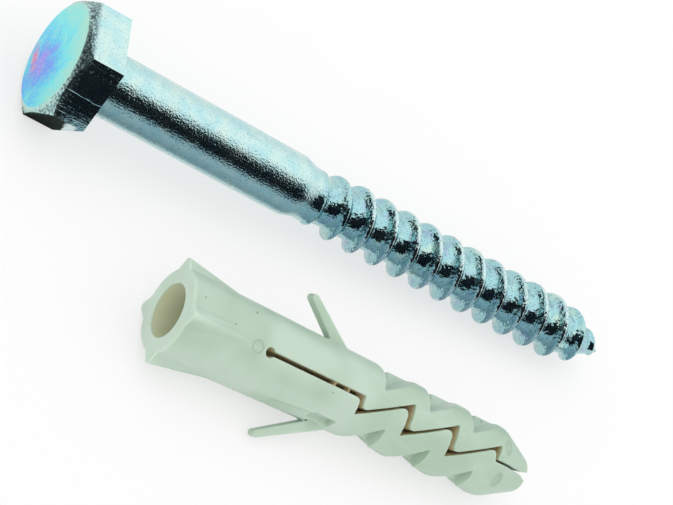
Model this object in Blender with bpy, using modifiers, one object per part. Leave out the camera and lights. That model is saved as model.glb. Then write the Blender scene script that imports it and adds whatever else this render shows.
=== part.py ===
"""Wall plug with hex screw: a 10 x 100 mm coach screw beside its 12 x 65 mm nylon plug, both lying down.

Each piece is modelled along its own +X axis. The screw's bearing face and the plug's mouth are at x = 0.
On the plug, local +Z is the face that carries the slot and local +Y is the flank of the upper wing.
"""

import math

import bmesh
import bpy
from mathutils import Matrix, Vector

MM = 0.001
COLLECTION_NAME = "wall_plug_with_hex_screw"

# Screw head
HEAD_ACROSS_FLATS = 17.0 * MM
HEAD_HEIGHT = 6.3 * MM
CHAMFER_FACE_DIAMETER = 15.8 * MM
CHAMFER_DROP = 1.3 * MM

# Screw shank and core
SCREW_LENGTH = 100.0 * MM
SHANK_DIAMETER = 9.5 * MM
SHANK_LENGTH = 35.5 * MM
SHANK_END_DIAMETER = 8.2 * MM
SHANK_CONE_LENGTH = 3.2 * MM
CORE_DIAMETER = 7.0 * MM
CORE_RUN_IN = 4.5 * MM
CORE_POINT_LENGTH = 10.0 * MM
CORE_POINT_POWER = 1.8

# Screw thread
THREAD_DIAMETER = 10.0 * MM
THREAD_PITCH = 4.5 * MM
THREAD_RUN_IN = 7.5 * MM
CREST_WIDTH = 0.4 * MM
CREST_ROUNDING = 0.16 * MM
CREST_SHOULDER_SHARE = 0.86
FLANK_BASE_WIDTH = 2.3 * MM
ROOT_FILLET = 0.45 * MM
ROOT_FILLET_SHARE = 0.7
POINT_LENGTH = 14.0 * MM
POINT_POWER = 2.9
POINT_END_RADIUS = 0.22 * MM
POINT_END_LENGTH = 0.35 * MM
THREAD_START_GAP = 0.1 * MM
TURN_STEPS = 28

# Plug body
PLUG_LENGTH = 64.8 * MM
MOUTH_DIAMETER = 12.7 * MM
BODY_END_DIAMETER = 11.0 * MM
NOSE_LENGTH = 6.2 * MM
NOSE_END_DIAMETER = 5.2 * MM
NOSE_SHOULDER_RADIUS = 3.2 * MM
NOSE_TIP_RADIUS = 0.9 * MM
RIM_RADIUS = 0.5 * MM
BODY_STEPS = 64

# Plug bore
BORE_DIAMETER = 8.0 * MM
BORE_STRAIGHT_END_DIAMETER = 7.2 * MM
BORE_STRAIGHT_LENGTH = 22.0 * MM
EXPANSION_BORE_DIAMETER = 5.3 * MM
BORE_TAPER_LENGTH = 12.0 * MM
BORE_END_CONE_LENGTH = 2.0 * MM
BORE_LEAD_IN = 0.12 * MM
BORE_STEPS = 48

# Mouth ribs
RIB_COUNT = 4
RIB_RISE = 1.45 * MM
RIB_LENGTH = 10.6 * MM
RIB_BASE_WIDTH = 3.4 * MM
RIB_CREST_WIDTH = 1.3 * MM
RIB_CORNER_RADIUS = 0.6 * MM
RIB_SINK = 0.12 * MM
RIB_SETBACK = 0.04 * MM

# Slot and keyhole
KEYHOLE_DIAMETER = 1.5 * MM
KEYHOLE_X = 14.0 * MM
SLOT_WIDTH = 0.65 * MM
WEB_THICKNESS = 0.3 * MM
WEB_DISTANCES = (5.0 * MM, 2.5 * MM)
WEB_BACKSET = 0.9 * MM
WEB_SEAT = 0.1 * MM
GATE_MARK_DIAMETER = 1.4 * MM
GATE_MARK_DEPTH = 0.12 * MM
GATE_MARK_GAP = 2.2 * MM

# Zigzag split
ZIGZAG_START = 31.1 * MM
TONGUE_COUNT = 3
TONGUE_PITCH = 8.5 * MM
ZIGZAG_REACH = 2.4 * MM
TONGUE_SETBACK = 0.55 * MM
HEEL_SETBACK = 0.3 * MM
TONGUE_CORNER_RADIUS = 0.8 * MM
STEP_LEAN = 0.35 * MM
STEP_GAP = 0.75 * MM
TIP_SLOT_WIDTH = 0.35 * MM
TIP_SLOT_OVERLAP = 0.2 * MM
ZIGZAG_END_SHARE = 0.8
TIP_OPENING = 1.4 * MM
TIP_OPENING_LENGTH = 2.2 * MM

# Flank teeth
NOTCH_FLOOR_SLOPE = 1.15
NOTCH_FLOOR_FOOT = 4.7 * MM
UPPER_NOTCH_REACH = 2.2 * MM
UPPER_NOTCH_OFFSET = 2.92 * MM
UPPER_NOTCH_SLOPE = 0.5
UPPER_WALL_LEAN = 0.06
LOWER_NOTCH_REACH = 2.6 * MM
LOWER_NOTCH_OFFSET = 2.95 * MM
LOWER_NOTCH_SLOPE = 0.8
LOWER_WALL_LEAN = 0.25
LOBE_RADIUS = 1.5 * MM
TOOTH_CORNER_RADIUS = 0.4 * MM

# Wings and their pockets
WING_DEPTH = 1.8 * MM
WING_TIP_THICKNESS = 1.05 * MM
WING_ROOT_THICKNESS = 1.9 * MM
WING_CORNER_SHARE = 0.9
UPPER_WING_TIP_X = 20.55 * MM
LOWER_WING_TIP_X = 19.75 * MM
WING_TIP_REACH = 10.9 * MM
UPPER_WING_ROOT_X = 28.45 * MM
LOWER_WING_ROOT_X = 30.28 * MM
WING_ROOT_SINK = 1.2 * MM
POCKET_START = 18.4 * MM
POCKET_LEAN = 0.9 * MM
POCKET_STEP = 25.6 * MM
POCKET_END = 29.4 * MM
POCKET_START_EDGE = 5.25 * MM
POCKET_EDGE = 4.75 * MM
POCKET_OVERLAP = 0.3 * MM
POCKET_FLOOR_TOP = 2.7 * MM
POCKET_FLOOR_FOOT = 0.2 * MM
DEEP_POCKET_EDGE = 4.5 * MM
DEEP_POCKET_FLOOR = 1.5 * MM
FLANK_RELIEF = 0.4 * MM
FLANK_RELIEF_START = 0.45 * MM
FLANK_RELIEF_END = 28.2 * MM
FLANK_RELIEF_LOW = -1.4 * MM
FLANK_RELIEF_HIGH = 2.6 * MM

# Tip dimples
DIMPLE_BACKSET = 6.65 * MM
DIMPLE_SPACING = 4.9 * MM
DIMPLE_WIDTH = 1.3 * MM
DIMPLE_LENGTH = 2.1 * MM
DIMPLE_DEPTH = 0.35 * MM

# How the two pieces lie
PLUG_ALONG = 17.6 * MM
PLUG_BESIDE = 30.0 * MM
PLUG_YAW = math.radians(0.2)
PLUG_ROLL = math.radians(30.0)

CUT_MARGIN = 1.0 * MM
CUT_OVERLAP = 0.05 * MM


def clear_scene():
    for obj in list(bpy.data.objects):
        bpy.data.objects.remove(obj, do_unlink=True)


def new_collection(name):
    collection = bpy.data.collections.new(name)
    bpy.context.scene.collection.children.link(collection)
    return collection


def new_material(name, colour, roughness, metallic):
    material = bpy.data.materials.new(name)
    material.use_nodes = True
    shader = material.node_tree.nodes["Principled BSDF"]
    shader.inputs["Base Color"].default_value = (*colour, 1.0)
    shader.inputs["Roughness"].default_value = roughness
    shader.inputs["Metallic"].default_value = metallic
    return material


def object_from_bmesh(name, mesh_builder, collection):
    mesh = bpy.data.meshes.new(name)
    mesh_builder.to_mesh(mesh)
    mesh_builder.free()
    obj = bpy.data.objects.new(name, mesh)
    collection.objects.link(obj)
    return obj


def boolean(target, operation, name, tools, cutters):
    """Joins or cuts with all the tools at once, and parents them to the target."""
    collection = bpy.data.collections.new(name)
    cutters.children.link(collection)
    for tool in tools:
        cutters.objects.unlink(tool)
        collection.objects.link(tool)
        tool.parent = target
        tool.hide_render = True
        tool.display_type = "WIRE"
    modifier = target.modifiers.new(name, "BOOLEAN")
    modifier.operation = operation
    modifier.solver = "EXACT"
    modifier.operand_type = "COLLECTION"
    modifier.collection = collection


def turned(name, profile, steps, collection):
    """A solid of revolution about X from (x, radius) points, listed from its far end back."""
    builder = bmesh.new()
    verts = [builder.verts.new((x, 0.0, radius)) for x, radius in profile]
    for first, second in zip(verts, verts[1:]):
        builder.edges.new((first, second))
    obj = object_from_bmesh(name, builder, collection)
    screw = obj.modifiers.new("turn", "SCREW")
    screw.axis = "X"
    screw.steps = steps
    screw.render_steps = steps
    screw.use_merge_vertices = True
    screw.merge_threshold = 0.00001
    screw.use_normal_calculate = False
    return obj


def rounded_outline(corners, arc_steps=5):
    """Points of a closed outline whose (x, y, radius) corners are rounded where the radius is not zero."""
    points = []
    for index, (x, y, radius) in enumerate(corners):
        here = Vector((x, y))
        if radius == 0.0:
            points.append(here)
            continue
        before = Vector(corners[index - 1][:2]) - here
        after = Vector(corners[(index + 1) % len(corners)][:2]) - here
        half_angle = before.angle(after) / 2
        reach = min(radius / math.tan(half_angle), 0.45 * before.length, 0.45 * after.length)
        start = here + before.normalized() * reach
        end = here + after.normalized() * reach
        centre_distance = reach / math.cos(half_angle)
        centre = here + (before.normalized() + after.normalized()).normalized() * centre_distance
        start_angle = math.atan2(start.y - centre.y, start.x - centre.x)
        sweep = math.atan2(end.y - centre.y, end.x - centre.x) - start_angle
        sweep = (sweep + math.pi) % (2 * math.pi) - math.pi
        arc_radius = (start - centre).length
        for step in range(arc_steps + 1):
            angle = start_angle + sweep * step / arc_steps
            points.append(centre + arc_radius * Vector((math.cos(angle), math.sin(angle))))
    return points


def extruded(name, outline, bottom, top, collection):
    """A prism over an (x, y) outline. Its floor height may be a number or a function of y."""
    builder = bmesh.new()
    floor = bottom if callable(bottom) else lambda y: bottom
    verts = [builder.verts.new((point.x, point.y, floor(point.y))) for point in outline]
    face = builder.faces.new(verts)
    extrusion = bmesh.ops.extrude_face_region(builder, geom=[face])
    for element in extrusion["geom"]:
        if isinstance(element, bmesh.types.BMVert):
            element.co.z = top
    bmesh.ops.recalc_face_normals(builder, faces=builder.faces)
    return object_from_bmesh(name, builder, collection)


def box(name, low, high, collection):
    builder = bmesh.new()
    bmesh.ops.create_cube(builder, size=1.0)
    size = Vector(high) - Vector(low)
    centre = (Vector(high) + Vector(low)) / 2
    bmesh.ops.scale(builder, vec=size, verts=builder.verts)
    bmesh.ops.translate(builder, vec=centre, verts=builder.verts)
    return object_from_bmesh(name, builder, collection)


def half_turn_copy(obj, collection):
    """The same shape turned by half a turn about X, for the plug's far side."""
    mesh = obj.data.copy()
    mesh.transform(Matrix.Diagonal((1.0, -1.0, -1.0, 1.0)))
    copy = bpy.data.objects.new(f"{obj.name}_far", mesh)
    collection.objects.link(copy)
    return copy


def blend(start, end, share):
    share = min(max(share, 0.0), 1.0)
    return start + (end - start) * share


def core_radius(x):
    run_in_start = SHANK_LENGTH + SHANK_CONE_LENGTH
    radius = blend(SHANK_END_DIAMETER, CORE_DIAMETER, (x - run_in_start) / CORE_RUN_IN) / 2
    share = max(x - (SCREW_LENGTH - CORE_POINT_LENGTH), 0.0) / CORE_POINT_LENGTH
    return max(radius * (1.0 - min(share, 1.0) ** CORE_POINT_POWER), POINT_END_RADIUS)


def crest_radius(x):
    run_in_start = SHANK_LENGTH + SHANK_CONE_LENGTH
    radius = blend(SHANK_END_DIAMETER, THREAD_DIAMETER, (x - run_in_start) / THREAD_RUN_IN) / 2
    share = max(x - (SCREW_LENGTH - POINT_LENGTH), 0.0) / POINT_LENGTH
    return max(radius * (1.0 - min(share, 1.0) ** POINT_POWER), POINT_END_RADIUS)


def thread_samples():
    """One pitch of the thread as (place along the pitch, share of the ridge height), crest first."""
    half_crest = CREST_WIDTH / 2
    half_base = FLANK_BASE_WIDTH / 2
    rounding = half_crest + CREST_ROUNDING
    fillet = half_base - ROOT_FILLET
    fillet_share = 1.0 - (fillet - half_crest) / (half_base - half_crest)
    half = [
        (half_crest, 1.0),
        (rounding, CREST_SHOULDER_SHARE),
        (fillet, ROOT_FILLET_SHARE * fillet_share),
        (half_base + ROOT_FILLET, 0.0),
    ]
    rising = [(THREAD_PITCH - place, share) for place, share in reversed(half)]
    return half + rising


def thread_surface(builder, ring):
    """The helical surface from a ring on the shank to a small ring at the point, which it returns."""
    samples = thread_samples()
    per_turn = len(samples)
    start_x = SHANK_LENGTH + SHANK_CONE_LENGTH + THREAD_START_GAP
    end_x = SCREW_LENGTH - POINT_END_LENGTH
    turns = (end_x - start_x) / THREAD_PITCH - 1.0
    row_count = int(turns * per_turn)
    rows = []
    for row in range(row_count):
        place, share = samples[row % per_turn]
        row_x = start_x + THREAD_PITCH * (row // per_turn) + place
        verts = []
        for step in range(TURN_STEPS):
            angle = 2 * math.pi * step / TURN_STEPS
            x = row_x + THREAD_PITCH * step / TURN_STEPS
            core = core_radius(x)
            radius = core + share * (crest_radius(x) - core)
            verts.append(builder.verts.new((x, radius * math.cos(angle), radius * math.sin(angle))))
        rows.append(verts)
    for lower, upper in zip(rows, rows[1:]):
        for step in range(TURN_STEPS - 1):
            builder.faces.new((lower[step], lower[step + 1], upper[step + 1], upper[step]))
    for row in range(row_count - per_turn - 1):
        across = rows[row + per_turn][0]
        builder.faces.new((rows[row][-1], across, rows[row + per_turn + 1][0], rows[row + 1][-1]))
    first = rows[0]
    for step in range(TURN_STEPS - 1):
        builder.faces.new((ring[step], ring[step + 1], first[step + 1], first[step]))
    builder.faces.new((first[-1], ring[-1], ring[0]))
    seam = [ring[0]] + [rows[row][0] for row in range(per_turn + 1)]
    for near, far in zip(seam, seam[1:]):
        builder.faces.new((first[-1], near, far))
    tip = []
    for step in range(TURN_STEPS):
        angle = 2 * math.pi * step / TURN_STEPS
        y, z = POINT_END_RADIUS * math.cos(angle), POINT_END_RADIUS * math.sin(angle)
        tip.append(builder.verts.new((SCREW_LENGTH, y, z)))
    last = rows[-1]
    for step in range(TURN_STEPS - 1):
        builder.faces.new((last[step], last[step + 1], tip[step + 1], tip[step]))
    seam = [rows[row][-1] for row in range(row_count - per_turn - 1, row_count)] + [tip[-1], tip[0]]
    for near, far in zip(seam, seam[1:]):
        builder.faces.new((last[0], far, near))
    return tip


def screw_stem(collection):
    """Shank, thread and point as one closed surface. It starts inside the head."""
    builder = bmesh.new()
    stations = [
        (-HEAD_HEIGHT / 2, SHANK_DIAMETER / 2),
        (SHANK_LENGTH, SHANK_DIAMETER / 2),
        (SHANK_LENGTH + SHANK_CONE_LENGTH, SHANK_END_DIAMETER / 2),
    ]
    rings = []
    for x, radius in stations:
        ring = []
        for step in range(TURN_STEPS):
            angle = 2 * math.pi * step / TURN_STEPS
            ring.append(builder.verts.new((x, radius * math.cos(angle), radius * math.sin(angle))))
        rings.append(ring)
    for lower, upper in zip(rings, rings[1:]):
        for step in range(TURN_STEPS):
            after = (step + 1) % TURN_STEPS
            builder.faces.new((lower[step], lower[after], upper[after], upper[step]))
    tip = thread_surface(builder, rings[-1])
    builder.faces.new(rings[0])
    builder.faces.new(tip)
    bmesh.ops.recalc_face_normals(builder, faces=builder.faces)
    bmesh.ops.triangulate(builder, faces=[face for face in builder.faces if len(face.verts) == 4])
    return object_from_bmesh("screw_stem", builder, collection)


def hex_screw(parts, cutters):
    """Hexagon head cut by a chamfer cone, with the threaded stem joined to it."""
    corner_radius = HEAD_ACROSS_FLATS / math.sqrt(3)
    builder = bmesh.new()
    bmesh.ops.create_cone(
        builder, cap_ends=True, segments=6, radius1=corner_radius, radius2=corner_radius, depth=HEAD_HEIGHT
    )
    bmesh.ops.rotate(builder, matrix=Matrix.Rotation(math.radians(90), 3, "Y"), verts=builder.verts)
    bmesh.ops.translate(builder, vec=(-HEAD_HEIGHT / 2, 0, 0), verts=builder.verts)
    head = object_from_bmesh("hex_screw", builder, parts)
    face_radius = CHAMFER_FACE_DIAMETER / 2
    cone_rate = (corner_radius - face_radius) / CHAMFER_DROP
    clear_radius = corner_radius + CUT_MARGIN
    profile = [
        (CUT_MARGIN, 0.0),
        (CUT_MARGIN, clear_radius),
        (-HEAD_HEIGHT + (clear_radius - face_radius) / cone_rate, clear_radius),
        (-HEAD_HEIGHT, face_radius),
        (-HEAD_HEIGHT, 0.0),
    ]
    blank = turned("head_chamfer_blank", profile, BODY_STEPS, cutters)
    boolean(head, "INTERSECT", "head_chamfer", [blank], cutters)
    boolean(head, "UNION", "stem", [screw_stem(cutters)], cutters)
    return head


def body_radius(x):
    share = x / (PLUG_LENGTH - NOSE_LENGTH)
    return blend(MOUTH_DIAMETER, BODY_END_DIAMETER, share) / 2


def plug_profile():
    """(x, radius) points of the plug's outside from the tip back to the mouth."""
    corners = [
        (PLUG_LENGTH, 0.0, 0.0),
        (PLUG_LENGTH, NOSE_END_DIAMETER / 2, NOSE_TIP_RADIUS),
        (PLUG_LENGTH - NOSE_LENGTH, BODY_END_DIAMETER / 2, NOSE_SHOULDER_RADIUS),
        (0.0, MOUTH_DIAMETER / 2, RIM_RADIUS),
        (0.0, 0.0, 0.0),
    ]
    return [tuple(point) for point in rounded_outline(corners)]


def bore_profile():
    """(x, radius) points of the bore from its inner end out past the mouth."""
    straight_end = BORE_STRAIGHT_LENGTH
    taper_end = BORE_STRAIGHT_LENGTH + BORE_TAPER_LENGTH
    cone_start = ZIGZAG_START + TONGUE_COUNT * TONGUE_PITCH + STEP_GAP
    return [
        (cone_start + BORE_END_CONE_LENGTH, 0.0),
        (cone_start, EXPANSION_BORE_DIAMETER / 2),
        (taper_end, EXPANSION_BORE_DIAMETER / 2),
        (straight_end, BORE_STRAIGHT_END_DIAMETER / 2),
        (BORE_LEAD_IN, BORE_DIAMETER / 2),
        (0.0, BORE_DIAMETER / 2 + BORE_LEAD_IN),
        (-CUT_MARGIN, BORE_DIAMETER / 2 + BORE_LEAD_IN + CUT_MARGIN),
        (-CUT_MARGIN, 0.0),
    ]


def rib_reach():
    """Distance from the axis to the crest of a rib at the mouth."""
    return MOUTH_DIAMETER / 2 + RIB_RISE


def rib(index, collection):
    """One mouth rib: a rounded ridge at the mouth that runs down into the body."""
    half_base = RIB_BASE_WIDTH / 2
    half_crest = RIB_CREST_WIDTH / 2
    root = (BORE_DIAMETER + MOUTH_DIAMETER) / 4
    builder = bmesh.new()
    sections = []
    for x, reach in ((RIB_SETBACK, rib_reach()), (RIB_LENGTH, body_radius(RIB_LENGTH) - RIB_SINK)):
        crest = [
            (half_crest * math.sin(angle), reach - half_crest * (1 - math.cos(angle)))
            for angle in (math.radians(degrees) for degrees in (-60, -30, 0, 30, 60))
        ]
        shoulder = math.sqrt(body_radius(x) ** 2 - half_base**2) - RIB_SINK
        left = [(-half_base, root), (-half_base, shoulder)]
        right = [(half_base, shoulder), (half_base, root)]
        outline = left + crest + right
        sections.append([builder.verts.new((x, y, z)) for y, z in outline])
    mouth, end = sections
    count = len(mouth)
    for step in range(count):
        after = (step + 1) % count
        builder.faces.new((mouth[step], mouth[after], end[after], end[step]))
    builder.faces.new(mouth)
    builder.faces.new(end)
    bmesh.ops.recalc_face_normals(builder, faces=builder.faces)
    turn = Matrix.Rotation(2 * math.pi * index / RIB_COUNT, 3, "X")
    bmesh.ops.rotate(builder, matrix=turn, verts=builder.verts)
    return object_from_bmesh(f"mouth_rib_{index + 1}", builder, collection)


def rib_envelope(collection):
    """A turned blank that rounds the rib corners at the mouth and stays clear of the body."""
    reach = rib_reach() + CUT_OVERLAP
    foot = reach - RIB_CORNER_RADIUS - CUT_OVERLAP
    clear = reach + CUT_MARGIN
    corners = [
        (PLUG_LENGTH + CUT_MARGIN, 0.0, 0.0),
        (PLUG_LENGTH + CUT_MARGIN, clear, 0.0),
        (RIB_LENGTH + CUT_MARGIN, clear, 0.0),
        (RIB_LENGTH, reach, 0.0),
        (0.0, reach, RIB_CORNER_RADIUS),
        (0.0, foot, 0.0),
        (-CUT_MARGIN, foot, 0.0),
        (-CUT_MARGIN, 0.0, 0.0),
    ]
    profile = [tuple(point) for point in rounded_outline(corners)]
    return turned("rib_corner_blank", profile, BODY_STEPS, collection)


def wing(name, side, tip_x, root_x, collection):
    """A thin ear that leans back from the flank towards the mouth. Side is +1 for the upper flank."""
    tip = Vector((tip_x, side * (WING_TIP_REACH - WING_TIP_THICKNESS / 2)))
    root = Vector((root_x, side * (body_radius(root_x) - WING_ROOT_SINK)))
    along = (root - tip).normalized()
    across = Vector((-along.y, along.x))
    half_tip = WING_TIP_THICKNESS / 2
    half_root = WING_ROOT_THICKNESS / 2
    corner_radius = WING_CORNER_SHARE * half_tip
    corners = [
        (*(tip - along * half_tip + across * half_tip), corner_radius),
        (*(tip - along * half_tip - across * half_tip), corner_radius),
        (*(root - across * half_root), 0.0),
        (*(root + across * half_root), 0.0),
    ]
    return extruded(name, rounded_outline(corners), -WING_DEPTH / 2, WING_DEPTH / 2, collection)


def step_x(index):
    return ZIGZAG_START + TONGUE_PITCH * index


def zigzag_outline():
    """Outline of the slot: straight from the keyhole, then a saw-tooth gap between the two halves."""
    half_slot = SLOT_WIDTH / 2
    upper_edge = [(KEYHOLE_X, half_slot, 0.0), (step_x(0), half_slot, 0.0)]
    lower_edge = [
        (KEYHOLE_X, -half_slot, 0.0),
        (step_x(0) - HEEL_SETBACK - STEP_LEAN, -half_slot, TONGUE_CORNER_RADIUS),
    ]
    upper_tongue_y = TONGUE_SETBACK - ZIGZAG_REACH
    lower_tongue_y = ZIGZAG_REACH - TONGUE_SETBACK - HEEL_SETBACK
    for index in range(TONGUE_COUNT):
        upper_edge.append((step_x(index) + HEEL_SETBACK, upper_tongue_y, TONGUE_CORNER_RADIUS))
        upper_edge.append((step_x(index + 1) + HEEL_SETBACK, ZIGZAG_REACH, 0.0))
        lower_edge.append((step_x(index) - STEP_LEAN, -ZIGZAG_REACH - HEEL_SETBACK, 0.0))
        lower_edge.append((step_x(index + 1) - STEP_GAP, lower_tongue_y, TONGUE_CORNER_RADIUS))
    last = step_x(TONGUE_COUNT)
    end = last + TIP_SLOT_OVERLAP
    half_end = ZIGZAG_END_SHARE * TIP_SLOT_WIDTH / 2
    upper_edge += [(last, half_end, 0.0), (end, half_end, 0.0)]
    lower_edge += [(last - STEP_LEAN, -half_end, 0.0), (end, -half_end, 0.0)]
    return rounded_outline(lower_edge + upper_edge[::-1], arc_steps=4)


def tip_cutter(cutters):
    """The straight gap behind the last tongue, which opens to a V at the tip. It goes right through."""
    start = step_x(TONGUE_COUNT) - TIP_SLOT_OVERLAP
    opening_x = PLUG_LENGTH - TIP_OPENING_LENGTH
    past_tip = PLUG_LENGTH + CUT_MARGIN
    half_slot = TIP_SLOT_WIDTH / 2
    half_mouth = half_slot + (TIP_OPENING / 2 - half_slot) * (past_tip - opening_x) / TIP_OPENING_LENGTH
    edge = [(start, half_slot), (opening_x, half_slot), (past_tip, half_mouth)]
    outline = [Vector((x, -y)) for x, y in edge] + [Vector((x, y)) for x, y in reversed(edge)]
    top = MOUTH_DIAMETER / 2 + CUT_MARGIN
    return extruded("tip_cutter", outline, -top, top, cutters)


def slot_cutters(cutters):
    """Keyhole, slot and gate mark. The first two reach from the axis out of the +Z side."""
    top = MOUTH_DIAMETER / 2 + CUT_MARGIN
    bottom = -CUT_OVERLAP
    tools = [extruded("slot_cutter", zigzag_outline(), bottom, top, cutters)]
    for name, x, diameter, foot in (
        ("keyhole_cutter", KEYHOLE_X, KEYHOLE_DIAMETER, bottom),
        (
            "gate_mark_cutter",
            KEYHOLE_X - GATE_MARK_GAP,
            GATE_MARK_DIAMETER,
            body_radius(KEYHOLE_X - GATE_MARK_GAP) - GATE_MARK_DEPTH,
        ),
    ):
        builder = bmesh.new()
        depth = top - foot
        bmesh.ops.create_cone(
            builder, cap_ends=True, segments=20, radius1=diameter / 2, radius2=diameter / 2, depth=depth
        )
        bmesh.ops.translate(builder, vec=(x, 0.0, foot + depth / 2), verts=builder.verts)
        tools.append(object_from_bmesh(name, builder, cutters))
    return tools


def webs(cutters):
    """Thin bridges left across the straight slot, a little under the surface."""
    half_width = SLOT_WIDTH / 2 + WEB_SEAT
    tools = []
    for index, distance in enumerate(WEB_DISTANCES):
        middle = ZIGZAG_START - distance
        low = (middle - WEB_THICKNESS / 2, -half_width, BORE_STRAIGHT_END_DIAMETER / 2)
        high = (middle + WEB_THICKNESS / 2, half_width, body_radius(middle) - WEB_BACKSET)
        tools.append(box(f"web_{index + 1}", low, high, cutters))
    return tools


def notch_floor(y):
    """Height of the slanted notch floor: high beside the bore, and below the mid-plane at the flank."""
    return NOTCH_FLOOR_SLOPE * (NOTCH_FLOOR_FOOT - abs(y))


def clear_of_body(x):
    """Half width at which a notch cutter passes just outside the body."""
    return body_radius(x) + CUT_OVERLAP


def upper_notch_outline():
    """Teeth of the upper flank: each wall faces the tip and each slope runs out towards it."""
    corners = []
    for index in range(TONGUE_COUNT):
        inner_x = step_x(index) + UPPER_NOTCH_OFFSET
        rise = body_radius(inner_x) - UPPER_NOTCH_REACH
        wall_x = inner_x + UPPER_WALL_LEAN * rise
        slope_x = inner_x + rise / UPPER_NOTCH_SLOPE
        corners.append((wall_x, clear_of_body(wall_x), LOBE_RADIUS))
        corners.append((inner_x, UPPER_NOTCH_REACH, 0.0))
        corners.append((slope_x, clear_of_body(slope_x), LOBE_RADIUS))
    outside = MOUTH_DIAMETER / 2 + CUT_MARGIN
    start_x = step_x(0)
    end_x = step_x(TONGUE_COUNT) + TONGUE_PITCH / 2
    corners = [(start_x, clear_of_body(start_x), 0.0)] + corners + [(end_x, clear_of_body(end_x), 0.0)]
    corners += [(end_x, outside, 0.0), (start_x, outside, 0.0)]
    return rounded_outline(corners)


def lower_notch_outline():
    """Teeth of the lower flank: each slope comes in from the mouth side and each wall faces the mouth."""
    corners = []
    for index in range(TONGUE_COUNT):
        inner_x = step_x(index + 1) - LOWER_NOTCH_OFFSET
        rise = body_radius(inner_x) - LOWER_NOTCH_REACH
        slope_x = inner_x - rise / LOWER_NOTCH_SLOPE
        wall_x = inner_x + LOWER_WALL_LEAN * rise
        corners.append((slope_x, -clear_of_body(slope_x), LOBE_RADIUS))
        corners.append((inner_x, -LOWER_NOTCH_REACH, 0.0))
        corners.append((wall_x, -clear_of_body(wall_x), TOOTH_CORNER_RADIUS))
    outside = MOUTH_DIAMETER / 2 + CUT_MARGIN
    start_x = step_x(0) - CUT_MARGIN
    end_x = step_x(TONGUE_COUNT) + CUT_MARGIN
    corners = [(start_x, -clear_of_body(start_x), 0.0)] + corners + [(end_x, -clear_of_body(end_x), 0.0)]
    corners += [(end_x, -outside, 0.0), (start_x, -outside, 0.0)]
    return rounded_outline(corners)


def flank_cutters(cutters):
    top = MOUTH_DIAMETER / 2 + CUT_MARGIN
    return [
        extruded("upper_notch_cutter", upper_notch_outline(), notch_floor, top, cutters),
        extruded("lower_notch_cutter", lower_notch_outline(), notch_floor, top, cutters),
    ]


def pocket_cutters(cutters):
    """Recess beside the lower wing: a shallow stretch, then a deeper one with a relieved flank."""
    outside = MOUTH_DIAMETER / 2 + CUT_MARGIN

    def shallow_floor(y):
        share = (abs(y) - POCKET_EDGE) / (MOUTH_DIAMETER / 2 - POCKET_EDGE)
        return POCKET_FLOOR_TOP + (POCKET_FLOOR_FOOT - POCKET_FLOOR_TOP) * share

    shallow_end = POCKET_STEP + POCKET_OVERLAP
    outline = [
        Vector((POCKET_START - POCKET_LEAN, -outside)),
        Vector((shallow_end, -outside)),
        Vector((shallow_end, -POCKET_EDGE)),
        Vector((POCKET_START, -POCKET_START_EDGE)),
    ]
    shallow = extruded("pocket_cutter", outline, shallow_floor, outside, cutters)
    low = (POCKET_STEP, -outside, DEEP_POCKET_FLOOR)
    deep = box("deep_pocket_cutter", low, (POCKET_END, -DEEP_POCKET_EDGE, outside), cutters)
    relief_edge = body_radius(POCKET_STEP) - FLANK_RELIEF
    low = (POCKET_STEP + FLANK_RELIEF_START, -outside, FLANK_RELIEF_LOW)
    relief = box("flank_relief_cutter", low, (FLANK_RELIEF_END, -relief_edge, FLANK_RELIEF_HIGH), cutters)
    return [shallow, deep, relief]


def dimple_cutters(cutters):
    tools = []
    for name, side in (("lower_dimple_cutter", -1), ("upper_dimple_cutter", 1)):
        x = PLUG_LENGTH - DIMPLE_BACKSET
        y = side * DIMPLE_SPACING / 2
        builder = bmesh.new()
        bmesh.ops.create_uvsphere(builder, u_segments=18, v_segments=10, radius=1.0)
        scale = (DIMPLE_WIDTH / 2, DIMPLE_LENGTH / 2, DIMPLE_DEPTH)
        bmesh.ops.scale(builder, vec=scale, verts=builder.verts)
        lean = Matrix.Rotation(-math.asin(y / body_radius(x)), 3, "X")
        bmesh.ops.rotate(builder, matrix=lean, verts=builder.verts)
        height = math.sqrt(body_radius(x) ** 2 - y**2)
        bmesh.ops.translate(builder, vec=(x, y, height), verts=builder.verts)
        tools.append(object_from_bmesh(name, builder, cutters))
    return tools


def wall_plug(parts, cutters):
    """Turned body with four mouth ribs, two wings, a stepped bore, a split zigzag and toothed flanks."""
    plug = turned("wall_plug", plug_profile(), BODY_STEPS, parts)
    ribs = [rib(index, cutters) for index in range(RIB_COUNT)]
    boolean(plug, "UNION", "mouth_ribs", ribs, cutters)
    boolean(plug, "INTERSECT", "rib_corners", [rib_envelope(cutters)], cutters)
    one_side = slot_cutters(cutters) + flank_cutters(cutters)
    one_side += pocket_cutters(cutters) + dimple_cutters(cutters)
    other_side = [half_turn_copy(tool, cutters) for tool in one_side]
    through = [turned("bore_cutter", bore_profile(), BORE_STEPS, cutters), tip_cutter(cutters)]
    boolean(plug, "DIFFERENCE", "plug_cuts", one_side + other_side + through, cutters)
    near_webs = webs(cutters)
    far_webs = [half_turn_copy(tool, cutters) for tool in near_webs]
    wings = [
        wing("upper_wing", 1, UPPER_WING_TIP_X, UPPER_WING_ROOT_X, cutters),
        wing("lower_wing", -1, LOWER_WING_TIP_X, LOWER_WING_ROOT_X, cutters),
    ]
    boolean(plug, "UNION", "wings_and_webs", wings + near_webs + far_webs, cutters)
    return plug


def world_points(obj):
    bpy.context.view_layer.update()
    evaluated = obj.evaluated_get(bpy.context.evaluated_depsgraph_get())
    mesh = evaluated.to_mesh()
    points = [obj.matrix_world @ vert.co for vert in mesh.vertices]
    evaluated.to_mesh_clear()
    return points


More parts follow.
